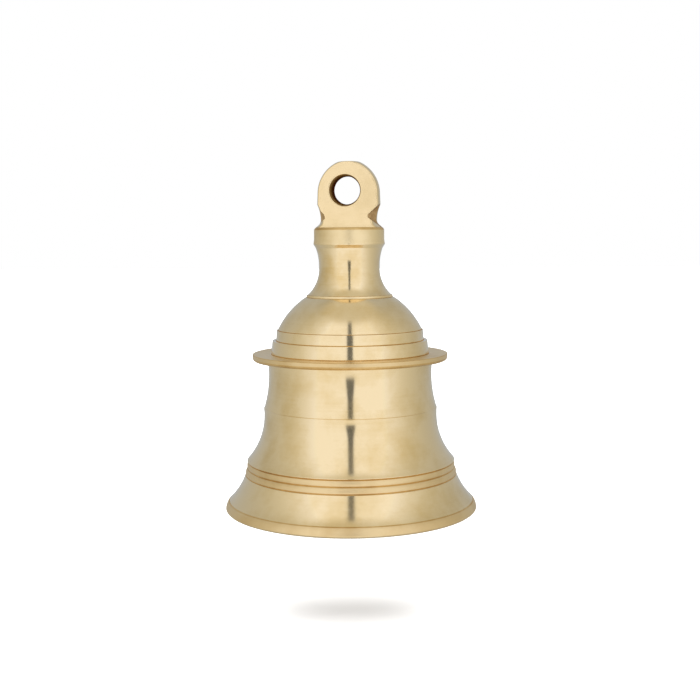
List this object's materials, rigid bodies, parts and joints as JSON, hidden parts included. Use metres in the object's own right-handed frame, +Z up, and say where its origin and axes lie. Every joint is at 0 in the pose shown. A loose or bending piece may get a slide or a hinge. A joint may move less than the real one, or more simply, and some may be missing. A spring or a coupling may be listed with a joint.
{
  "type": "temple bell",
  "caption": "Turned brass hanging bell with a flanged crown, a neck with a drilled hanging lug, and a ball clapper inside.",
  "frame": {"origin": "middle of the mouth, on the plane of the lip", "axes": "+Z up the bell's axis to the hanging eye; the flats of the eye face -Y and +Y"},
  "size_m": [0.1294, 0.1294, 0.1775],
  "materials": {
    "shell_brass": "satin turned and polished, lightly lacquered",
    "hanger_brass": "satin turned, the eye's flats filed and polished",
    "bolt_steel": "bright zinc plated",
    "washer_steel": "bright zinc plated",
    "spring_steel": "dull zinc plated",
    "nut_steel": "bright zinc plated",
    "link_steel": "bright zinc plated",
    "rod_brass": "satin drawn",
    "ball_brass": "satin turned",
    "cap_nut_brass": "satin turned"
  },
  "bodies": {
    "bell": {"bell_shell": "shell_brass", "crown_hanger": "hanger_brass", "eye_bolt": "bolt_steel", "crown_washer": "washer_steel", "lock_washer": "spring_steel", "crown_nut": "nut_steel"},
    "link": {"clapper_link": "link_steel"},
    "clapper": {"clapper_rod": "rod_brass", "clapper_ball": "ball_brass", "clapper_cap_nut": "cap_nut_brass"}
  },
  "joints": [
    {"name": "link_swing", "type": "hinge", "parent": "bell", "child": "link", "pos_m": [0, 0, 0.0695], "axis": [1, 0, 0], "range_deg": [-36, 36]},
    {"name": "clapper_swing", "type": "hinge", "parent": "link", "child": "clapper", "pos_m": [0, 0, 0.057], "axis": [0, 1, 0], "range_deg": [-8, 8]}
  ]
}
